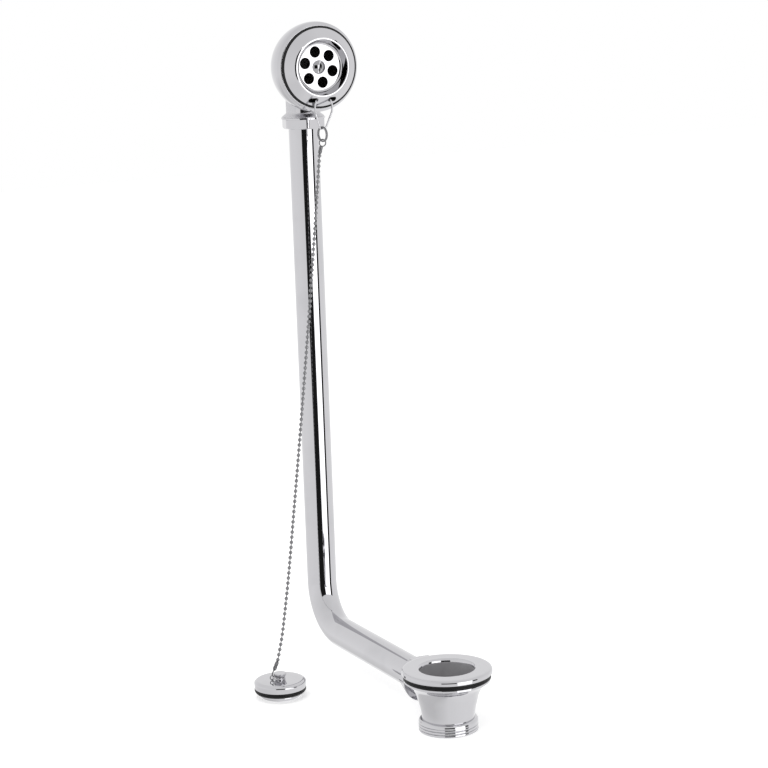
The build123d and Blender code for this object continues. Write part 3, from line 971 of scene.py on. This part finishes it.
@dataclass
class OverflowHead:
    """Domed overflow head: body with its spigot, gasket, rose, screw, and the upper union nut."""

    x: float = -226.0
    z: float = 515.8
    dome_d: float = 28.6
    dome_r: float = 37.3
    dome_wall: float = 3.0
    face_d: float = 34.0
    face_r: float = 34.2
    edge_d: float = 32.4
    edge_r: float = 35.6
    mouth_r: float = 31.0
    spigot_r: float = 14.2
    spigot_bore: float = 11.5
    spigot_top: float = 493.8
    shoulder_r: float = 17.6
    shoulder_h: float = 3.3
    socket_r: float = 14.5
    socket_bore: float = 12.75
    socket_top: float = 475.6
    socket_end: float = 468.1
    nut_z: float = 473.1
    nut_turn: float = 14.0
    gasket_r: float = 33.9
    gasket_bore: float = 29.4
    gasket_t: float = 1.6
    gasket_edge: float = 0.5
    rose_r: float = 32.2
    lip_r: float = 23.7
    lip_d: float = 42.4
    disc_r: float = 20.4
    disc_d: float = 34.4
    disc_t: float = 1.1
    holes: int = 6
    hole_r: float = 4.7
    hole_pitch_r: float = 12.94
    hole_turn: float = 13.4
    slot_length: float = 8.0
    slot_height: float = 3.8
    slot_y: float = 8.6
    slot_drop: float = 26.6
    screw_r: float = 3.0
    screw_length: float = 18.0
    screw_head_r: float = 5.7
    screw_head_h: float = 2.6
    screw_edge: float = 0.3
    screw_slot: float = 1.4
    screw_slot_low: float = 1.0
    screw_slot_high: float = 5.0
    screw_slot_reach: float = 8.0
    screw_turn: float = 78.0

    def outward(self, y: float = 0.0, z: float = 0.0) -> Spindle:
        """Spindle out of the head, or beside its middle; heights are depths from the pipe's line."""
        return Spindle((self.x, y, self.z + z), OUT, ASIDE)

    def from_dome(self, centre: np.ndarray) -> np.ndarray:
        """Distances of points from the middle of the dome's ball."""
        return np.linalg.norm(centre - (self.x + self.dome_d, 0.0, self.z), axis=1)

    def spigot_faces(self, centre: np.ndarray, normal: np.ndarray) -> np.ndarray:
        """Faces of the spigot outside the dome, which are cast and only brushed."""
        return self.from_dome(centre) > self.dome_r + 0.1

    def shaded_chamber_faces(self, centre: np.ndarray, normal: np.ndarray) -> np.ndarray:
        """Faces that look into the chamber behind the rose, those of the spigot's end included, which get painted
        shade.
        """
        near = self.from_dome(centre) < self.dome_r - self.dome_wall + 0.2
        return near & (centre[:, 0] < self.x + self.face_d - 0.3)

    def body(self) -> None:
        """Dome with a thin wall and a bevelled rim, and the spigot that runs down into the union."""
        dome_in = self.dome_r - self.dome_wall
        rim = rounded([
            (self.dome_r, self.dome_d, 0.0), (self.edge_r + 1.2, self.edge_d - 1.0, 0.8),
            (self.edge_r, self.edge_d, 0.7), (self.face_r, self.face_d, 0.5), (self.mouth_r, self.face_d, 0.4),
            (dome_in, self.dome_d, 0.0),
        ], False)
        outside = arc_line((0.0, self.dome_d), self.dome_r, -90.0, 0.0, 48)
        inside = arc_line((0.0, self.dome_d), dome_in, 0.0, -90.0, 32)
        dome = turned(np.concatenate([outside[:-1], rim, inside[1:]]), self.outward(), 180)
        ball_out = arc_line((0.0, self.spigot_top), self.spigot_r, 90.0, 0.0, 14)
        ball_in = arc_line((0.0, self.spigot_top), self.spigot_bore, 0.0, 90.0, 12)
        shank = rounded([
            (self.spigot_r, self.spigot_top, 0.0), (self.spigot_r, self.nut_z + self.shoulder_h, 0.8),
            (self.shoulder_r, self.nut_z + 0.6, 0.4), (self.shoulder_r, self.nut_z, 0.1),
            (self.socket_r, self.nut_z, 0.0), (self.socket_r, self.socket_end, 0.2),
            (self.socket_bore, self.socket_end, 0.2), (self.socket_bore, self.socket_top, 0.0),
            (self.spigot_bore, self.socket_top, 0.0), (self.spigot_bore, self.spigot_top, 0.0),
        ], False)
        outline = np.concatenate([ball_out[:-1], shank, ball_in[1:]])
        made = mesh_object("head_body", dome, turned(outline, Spindle((self.x, 0.0, 0.0)), 128))
        dress(made, CAST_CHROME, Body.FITTING, "overflow_body")
        line_inside(made, SATIN_CHROME, self.spigot_faces)
        # Painted shade: the chamber's inner faces behind the rose turn near-black.
        line_inside(made, CHAMBER_PAINTED_SHADE, self.shaded_chamber_faces)

    def rose(self) -> None:
        """Raised cover with a rolled lip, a recessed disc with round holes, and two slots for the stay."""
        front = self.face_d + self.gasket_t
        bore = self.screw_r + FIT
        back = self.disc_d - self.disc_t
        outline = rounded([
            (bore, self.disc_d, 0.0), (self.disc_r, self.disc_d, 2.6), (self.lip_r - 1.0, self.lip_d - 0.4, 0.3),
            (self.lip_r - 0.7, self.lip_d, 0.3), (self.lip_r + 0.3, self.lip_d, 0.3),
            (self.lip_r + 1.5, self.lip_d - 0.42, 0.3), (self.rose_r - 0.5, front + 1.1, 0.5),
            (self.rose_r, front + 0.7, 0.3), (self.rose_r, front, 0.2), (self.rose_r - 1.8, front, 0.2),
            (self.lip_r + 0.5, self.lip_d - 2.6, 0.6), (self.disc_r + 1.2, back, 0.6), (bore, back, 0.0),
        ])
        cover = mesh_object("head_rose", turned(densified(outline, 0.9), self.outward(), 192))
        low, edge, high = self.disc_d - 4.0, self.disc_d - 0.07, self.disc_d + 0.13
        r = self.hole_r
        drill = np.array([(0.0, low), (r, low), (r, edge), (r + 0.2, high), (0.0, high)])
        angle = 90.0 + self.hole_turn + 360.0 / self.holes * np.arange(self.holes)
        places = self.hole_pitch_r * np.stack([np.cos(np.radians(angle)), np.sin(np.radians(angle))], axis=-1)
        drills = [turned(drill, self.outward(y, z), 48) for y, z in places]
        work_with(cover, mesh_object("tool", *drills), Cut.AWAY)
        slots = (self.slot_tool(-self.slot_y), self.slot_tool(self.slot_y))
        work_with(cover, mesh_object("tool", *slots), Cut.AWAY)
        dress(cover, TURNED_CHROME, Body.FITTING, "overflow_rose")

    def slot_tool(self, y: float) -> Skin:
        """Round-ended bar through the cover at one side.

        Args:
            y: Where the slot's middle lies across the head.

        Returns:
            The bar's closed surface.
        """
        half = self.slot_height / 2
        run = self.slot_length / 2 - half
        right = arc_line((y + run, -self.slot_drop), half, -90.0, 90.0, 15)
        left = arc_line((y - run, -self.slot_drop), half, 90.0, 270.0, 15)
        flat = np.concatenate([right, left])
        back = self.face_d + 0.2
        ring = np.stack([np.full(len(flat), self.x + back), flat[:, 0], self.z + flat[:, 1]], axis=-1)
        return prism(ring, (self.lip_d + 2.0 - back, 0.0, 0.0))

    def screw(self) -> None:
        """Round-headed screw with a slot; its crown is an arc over the head's width."""
        rise = self.screw_head_h - self.screw_edge
        ball = (self.screw_head_r ** 2 + rise ** 2) / (2 * rise)
        half_turn = math.degrees(math.asin(self.screw_head_r / ball))
        crown = arc_line((0.0, self.disc_d + self.screw_head_h - ball), ball, 90.0 - half_turn, 90.0, 24)
        end = self.disc_d - self.screw_length
        shank = [(0.0, end), (self.screw_r, end), (self.screw_r, self.disc_d), (self.screw_head_r, self.disc_d)]
        head = mesh_object("rose_screw_head", turned(np.concatenate([shank, crown]), self.outward(), 96))
        turn = math.radians(self.screw_turn)
        along = np.array((0.0, math.cos(turn), math.sin(turn)))
        half = np.array((0.0, -math.sin(turn), math.cos(turn))) * self.screw_slot / 2
        low = np.array((self.x + self.disc_d + self.screw_slot_low, 0.0, self.z))
        high = np.array((self.x + self.disc_d + self.screw_slot_high, 0.0, self.z))
        reach = self.screw_slot_reach * along
        ring = np.array([low - half, low + half, high + half, high - half]) - reach
        work_with(head, mesh_object("tool", prism(ring, 2 * reach)), Cut.AWAY)
        dress(head, SCREW_CHROME, Body.FITTING, "rose_screw")

    def build(self) -> None:
        """Make every piece of the head."""
        self.body()
        gasket = (self.gasket_bore, self.gasket_r, self.face_d, self.gasket_t, self.gasket_edge)
        RubberRing(self.outward(), *gasket).build("head_gasket", "overflow_gasket")
        self.rose()
        self.screw()
        below = Spindle((self.x, 0.0, self.nut_z), DOWN, OUT)
        UnionNut(below, self.nut_turn).build("upper_nut", "upper_union_nut")


@dataclass
class ChainHanger:
    """Wire stay through the rose's slots and the split ring that hangs on it."""

    bar_x: float = -189.6
    bar_z: float = 489.2
    stay_x: float = -185.4
    low_z: float = 465.6
    thick: float = 0.8
    stay_side: Triple = (0.92, 0.12, 0.37)
    ring_y: float = -2.0
    ring_z: float = 461.05
    ring_r: float = 5.95
    ring_wire: float = 0.54
    ring_turn: float = 10.0
    ring_gap: float = 0.25

    def stay(self) -> None:
        """Wire behind the bridge, out through both slots and down to a narrow foot."""
        back, out, high = self.bar_x, self.stay_x, self.bar_z
        line = rounded([
            (back, 0.2, high, 0.0), (back, 6.1, high, 1.0), (out, 6.6, high - 0.3, 1.4),
            (out, 7.9, high - 4.5, 3.0), (out, 7.6, high - 10.0, 4.0), (out, 1.0, self.low_z, 1.4),
            (out, -4.0, self.low_z, 1.4), (out, -7.8, high - 10.0, 4.0), (out, -7.9, high - 4.5, 3.0),
            (out, -6.6, high - 0.3, 1.4), (back, -6.1, high, 1.0), (back, -0.2, high, 0.0),
        ], False)
        made = mesh_object("stay_wire", wire(line, self.thick, self.stay_side, 14))
        dress(made, WIRE_CHROME, Body.STAY, "chain_stay")

    def ring(self) -> None:
        """Split ring: two turns of round wire side by side, stepping over once on a smooth ramp."""
        turn = np.linspace(0.0, 4 * math.pi - self.ring_gap, 190)
        step = np.clip(turn - 2 * math.pi + 0.5, 0.0, 1.0)
        shift = (2 * step ** 2 * (1.5 - step) - 0.5) * 2 * self.ring_wire
        lean = math.radians(self.ring_turn)
        along = np.array((math.cos(lean), math.sin(lean), 0.0))
        across = np.array((-math.sin(lean), math.cos(lean), 0.0))
        away = np.sin(turn)[:, None] * along - np.cos(turn)[:, None] * np.array(UP)
        line = np.array((self.stay_x, self.ring_y, self.ring_z)) + self.ring_r * away + shift[:, None] * across
        made = mesh_object("split_ring_wire", wire(line, self.ring_wire, across, WIRE_SIDES))
        dress(made, CHAIN_CHROME, Body.RING, "split_ring")

    def build(self) -> None:
        """Make the stay and the ring."""
        self.stay()
        self.ring()


@dataclass
class BallChain:
    """Ball chain with a coupling at both ends and the ring that holds it to the plug."""

    points: tuple[Triple, ...] = (
        (-185.0, -5.6, 445.0), (-176.8, -23.0, 330.0), (-167.8, -42.1, 214.5), (-162.5, -53.0, 152.7),
        (-155.8, -66.8, 78.6), (-152.3, -74.3, 46.0), (-149.0, -81.1, 25.8),
    )
    ball_r: float = 1.58
    first_ball: float = 1.6
    pitch: float = 4.3
    end_gap: float = 4.41
    link_r: float = 0.42
    clasp_r: float = 1.6
    upper_eye: Triple = (-185.4, -2.3, 453.85)
    upper_foot: Triple = (-185.3, -3.6, 451.55)
    upper_bore: float = 2.4
    upper_wire: float = 0.5
    lower_eye: Triple = (-145.3, -87.45, 17.35)
    lower_bore: float = 1.4
    lower_wire: float = 0.325
    lower_foot: Triple = (-147.3, -84.6, 22.6)
    shank_r: float = 0.5
    shank_bow: Triple = (0.2, -0.5, 0.1)
    plug_x: float = -145.3
    plug_y: float = -80.3
    ring_z: float = 16.55
    ring_shift: float = 1.6
    ring_r: float = 5.45
    ring_wire: float = 0.45

    def balls(self, centres: np.ndarray) -> Skin:
        """A sphere of a few faces at every centre, its poles on the chain's line."""
        rise = np.linspace(0.0, math.pi, 9)
        outline = self.ball_r * np.stack([np.sin(rise), np.cos(rise)], axis=-1)
        return strung(outline[None], centres, unit(np.gradient(centres, axis=0)), 14)

    def links(self, centres: np.ndarray) -> Skin:
        """Thin pins from each ball's middle to the next one's."""
        outlines = np.zeros((len(centres) - 1, 4, 2))
        outlines[:, 1:3, 0] = self.link_r
        outlines[:, 2:, 1] = runs(centres)[:, None]
        return strung(outlines, centres[:-1], unit(np.diff(centres, axis=0)), 8)

    def clasp(self, start: np.ndarray, end: np.ndarray) -> Skin:
        """Barrel clasp between two points, with crimped ends and a groove round its middle.

        Args:
            start: One end of the barrel.
            end: The other.

        Returns:
            The barrel's surface.
        """
        long = float(np.linalg.norm(end - start))
        r = self.clasp_r
        outline = rounded([
            (0.0, 0.0, 0.0), (0.55 * r, 0.0, 0.2), (r, 0.14 * long, 0.6), (r, 0.44 * long, 0.15),
            (0.86 * r, 0.47 * long, 0.12), (0.86 * r, 0.53 * long, 0.12), (r, 0.56 * long, 0.15),
            (r, 0.86 * long, 0.6), (0.55 * r, long, 0.2), (0.0, long, 0.0),
        ])
        return strung(outline[None], start[None], unit(end - start)[None], 28)

    def build(self) -> None:
        """Make the chain, both couplings and the plug's ring."""
        line = smooth_line(self.points, 1600)
        length = runs(line).sum()
        count = int((length - self.end_gap) / self.pitch) + 1
        centres = evenly(line, (self.first_ball + self.pitch * np.arange(count)) / length)
        chain = mesh_object("chain_balls", self.balls(centres), self.links(centres))
        dress(chain, CHAIN_CHROME, Body.CHAIN, "ball_chain")
        eye = hoop(Spindle(self.upper_eye, OUT, ASIDE), self.upper_bore + self.upper_wire, self.upper_wire)
        upper = mesh_object("upper_clasp", eye, self.clasp(np.array(self.upper_foot), line[0]))
        dress(upper, CLASP_CHROME, Body.CHAIN, "upper_coupling")
        eye = hoop(Spindle(self.lower_eye, OUT, ASIDE), self.lower_bore + self.lower_wire, self.lower_wire)
        last = centres[-1] + 0.85 * self.ball_r * unit(line[-1] - line[-20])
        foot = np.array(self.lower_foot)
        eye_top = np.array(self.lower_eye) + (0.0, 0.0, self.lower_bore + 0.2)
        neck = smooth_line([foot + 0.2 * (last - foot), 0.5 * (foot + eye_top) + self.shank_bow, eye_top], 16)
        lower = mesh_object("lower_clasp", eye, self.clasp(last, foot), wire(neck, self.shank_r, OUT, 10))
        dress(lower, CLASP_CHROME, Body.CHAIN, "lower_coupling")
        round_neck = Spindle((self.plug_x, self.plug_y - self.ring_shift, self.ring_z))
        ring = mesh_object("plug_ring_wire", hoop(round_neck, self.ring_r, self.ring_wire, 64))
        dress(ring, WIRE_CHROME, Body.CHAIN, "plug_ring")


@dataclass
class Plug:
    """Bath plug: knob on its stud, chrome cap, rubber seal and base."""

    x: float = -145.3
    y: float = -80.3
    r: float = 21.8
    top: float = 15.2
    cap_under: float = 8.2
    seal_under: float = 4.2
    base_r: float = 17.4
    stud_r: float = 2.5
    stud_end: float = 0.6
    knob_r: float = 5.65
    knob_top: float = 20.4
    knob_foot_r: float = 4.5
    knob_foot_h: float = 0.6
    neck_r: float = 3.3
    neck_top: float = 17.2

    def piece(self, name: str, node: str, finish: Finish, outline: Table) -> None:
        """Turn one piece of the plug and dress it.

        Args:
            name: The piece's name.
            node: The node it stands for.
            finish: The piece's finish.
            outline: Rows of radius, height and rounding.
        """
        made = mesh_object(name, turned(rounded(outline), Spindle((self.x, self.y, 0.0))))
        dress(made, finish, Body.PLUG, node)

    def build(self) -> None:
        """Make the plug's four pieces."""
        r, top, cap, seal, base = self.r, self.top, self.cap_under, self.seal_under, self.base_r
        bore = self.stud_r + FIT
        foot = top + self.knob_foot_h
        self.piece("plug_button", "plug_knob", TURNED_CHROME, [
            (0.0, self.stud_end, 0.0), (self.stud_r, self.stud_end, 0.4), (self.stud_r, top, 0.0),
            (self.knob_foot_r, top, 0.0), (self.knob_foot_r, foot, 0.25), (self.neck_r, foot + 0.1, 0.0),
            (self.neck_r, self.neck_top, 0.0), (self.knob_foot_r, self.neck_top + 0.1, 0.25),
            (self.knob_r, self.knob_top - 0.5, 0.4), (self.knob_r - 0.5, self.knob_top, 0.3),
            (0.0, self.knob_top, 0.0),
        ])
        self.piece("plug_cover", "plug_cap", TURNED_CHROME, [
            (bore, cap, 0.0), (r - 0.35, cap, 0.4), (r, top - 1.6, 1.5), (r - 2.2, top - 0.1, 2.0),
            (r - 7.0, top, 2.5), (bore, top, 0.0),
        ])
        middle = (seal + cap) / 2
        self.piece("plug_rubber", "plug_seal", BLACK_RUBBER, [
            (bore, seal, 0.0), (r - 1.7, seal, 0.5), (r - 0.5, seal + 1.5, 0.8), (r - 0.3, middle - 0.2, 0.25),
            (r - 0.9, middle, 0.15), (r - 0.2, middle + 0.2, 0.25), (r - 0.2, cap, 0.3), (bore, cap, 0.0),
        ])
        self.piece("plug_foot", "plug_base", TURNED_CHROME, [
            (bore, 0.0, 0.0), (base - 2.6, 0.0, 0.8), (base - 0.7, 0.8, 0.9), (base, 2.2, 0.8), (base, seal, 0.2),
            (bore, seal, 0.0),
        ])


@dataclass
class Studio:
    """White studio: floor, soft lamp, a bright tent with a dark camera slot and a light strip, and the camera.

    A band of the tent is its low border, its high border and how soft both are, in degrees.
    """

    camera_at: Triple = (1.56426, -0.83975, 0.63552)
    azimuth: float = 63.126
    pitch: float = 11.283
    roll: float = -2.0
    focal_px: float = 2340.01
    frame_px: float = 768.0
    sensor: float = 36.0
    slot: Triple = (-43.0, -4.7, 0.8)
    strip: Triple = (-2.5, 37.0, 0.6)
    edge: Triple = (37.0, 52.0, 0.8)
    tall: Triple = (-17.6, 24.0, 0.5)
    panel: Triple = (-22.5, -18.6, 0.5)
    low_rise: Triple = (-120.0, -24.0, 24.0)
    low_turn: Triple = (-240.0, -62.0, 70.0)
    high_rise: Triple = (10.0, 200.0, 60.0)
    front_turn: Triple = (-75.0, 20.0, 60.0)
    tent_level: float = 1.04
    high_loss: float = 0.1
    front_loss: float = 0.06
    low_loss: float = 0.26
    slot_loss: float = 0.985
    strip_gain: float = 2.4
    ambient: float = 0.78
    floor_half: float = 4000.0
    floor_z: float = -0.3
    floor_points: int = 9
    floor_lift: float = 0.44
    paper_scale: float = 30.0
    paper_dark: Triple = (0.84, 0.84, 0.84)
    paper_light: Triple = (0.86, 0.86, 0.86)
    lamp_power: float = 9.0
    lamp_size: float = 1.2
    lamp_at: Triple = (0.35, -0.75, 1.7)
    lamp_turn: Triple = (math.radians(24), math.radians(12), 0.0)

    def camera(self) -> None:
        """Place the camera by its azimuth, pitch and roll."""
        a = math.radians(self.azimuth)
        p = math.radians(self.pitch)
        t = math.radians(self.roll)
        back = np.array((math.sin(a) * math.cos(p), -math.cos(a) * math.cos(p), math.sin(p)))
        right = np.array((math.cos(a), math.sin(a), 0.0))
        up = np.cross(back, right)
        turned_right = math.cos(t) * right + math.sin(t) * up
        turned_up = -math.sin(t) * right + math.cos(t) * up
        lens = bpy.data.cameras.new("photo_camera")
        lens.sensor_width = self.sensor
        lens.lens = self.focal_px / self.frame_px * self.sensor
        lens.clip_start = 0.05
        lens.clip_end = 50.0
        made = linked("photo_camera", lens)
        columns = np.stack([turned_right, turned_up, back, np.array(self.camera_at)], axis=1)
        made.matrix_world = Matrix([*columns.tolist(), (0.0, 0.0, 0.0, 1.0)])
        bpy.context.scene.camera = made

    def tent(self) -> None:
        """World: white to the camera, even soft light, and the tent that shiny surfaces show."""
        world = bpy.data.worlds.new("studio_tent")
        graph = Graph(world)
        where = graph.node("ShaderNodeTexCoord").outputs["Generated"]
        parts = graph.node("ShaderNodeSeparateXYZ", {"Vector": where})
        x, y, z = (graph.number(parts, axis) for axis in range(3))
        turn = y.math("ARCTAN2", x) * (180 / math.pi)
        rise = z.math("ARCSINE") * (180 / math.pi)
        tall = rise.band(*self.tall)
        strip = turn.band(*self.strip) * (tall + rise.band(*self.panel)).clamped()
        dark = (turn.band(*self.slot) + turn.band(*self.edge)).clamped() * tall
        low = rise.band(*self.low_rise) * turn.band(*self.low_turn)
        level = self.tent_level - self.high_loss * rise.band(*self.high_rise)
        level = level - self.front_loss * turn.band(*self.front_turn) - self.low_loss * low
        shiny = level * (1.0 - self.slot_loss * dark) + strip * (self.strip_gain - 1.0)
        path = graph.node("ShaderNodeLightPath")
        seen = (graph.number(path, "Is Camera Ray") + graph.number(path, "Is Transmission Ray")).clamped()
        mirror = graph.number(path, "Is Glossy Ray") * (1.0 - seen)
        strength = seen + mirror * shiny + (1.0 - seen - mirror) * self.ambient
        light = graph.node("ShaderNodeBackground", {"Color": (1.0, 1.0, 1.0, 1.0), "Strength": strength})
        graph.node("ShaderNodeOutputWorld", {"Surface": light.outputs[0]})
        bpy.context.scene.world = world

    def floor(self) -> None:
        """Pale floor that fades into the white background and keeps a soft shadow."""
        side = np.linspace(-self.floor_half, self.floor_half, self.floor_points)
        x, y = np.meshgrid(side, side, indexing="ij")
        points = np.stack([x, y, np.full_like(x, self.floor_z)], axis=-1).reshape(-1, 3)
        faces = grid_faces(self.floor_points, self.floor_points, False, False)
        made = mesh_object("studio_floor", Skin(points, faces))
        paint = bpy.data.materials.new("floor_paper")
        graph = Graph(paint)
        where = graph.node("ShaderNodeTexCoord").outputs["Object"]
        tone = graph.blend(graph.noise(where, self.paper_scale, 3.0), self.paper_dark, self.paper_light)
        lift = graph.number(graph.node("ShaderNodeLightPath"), "Is Camera Ray") * self.floor_lift
        paper = graph.node("ShaderNodeBsdfDiffuse", {"Color": tone})
        glow = graph.node("ShaderNodeEmission", {"Color": (1.0, 1.0, 1.0, 1.0), "Strength": lift})
        both = graph.node("ShaderNodeAddShader", {0: paper.outputs[0], 1: glow.outputs[0]})
        graph.node("ShaderNodeOutputMaterial", {"Surface": both.outputs[0]})
        made.data.materials.append(paint)
        made.visible_glossy = False

    def lamp(self) -> None:
        """Large soft lamp above the camera's left, which mirrors don't show."""
        light = bpy.data.lights.new("soft_lamp", "AREA")
        light.energy = self.lamp_power
        light.size = self.lamp_size
        made = linked("soft_lamp", light)
        made.location = self.lamp_at
        made.rotation_euler = self.lamp_turn
        made.visible_glossy = False

    def build(self) -> None:
        """Make the studio."""
        self.camera()
        self.tent()
        self.floor()
        self.lamp()
        bpy.context.scene.view_settings.view_transform = "Standard"


def hidden_rings(frame: Mapping[str, Any]) -> None:
    """Give the rubber rings inside the unions their finish; they stay as CAD nodes.
    """
    for node in ("lower_union_ring", "upper_union_ring"):
        made = frame["nodes"][node]
        made.data.materials.clear()
        made.data.materials.append(BLACK_RUBBER.material())
        LOG.info("%s keeps its solid", node)


def main() -> None:
    """Load the frame and build each sub-assembly in order."""
    logging.basicConfig(level=logging.INFO, format="%(name)s: %(message)s")
    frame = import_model()
    for assembly in (Studio(), Waste(), OverflowPipe(), OverflowHead(), ChainHanger(), BallChain(), Plug()):
        assembly.build()
        LOG.info("%s is built", type(assembly).__name__)
    hidden_rings(frame)
    bpy.context.view_layer.update()


if __name__ == "__main__":
    main()
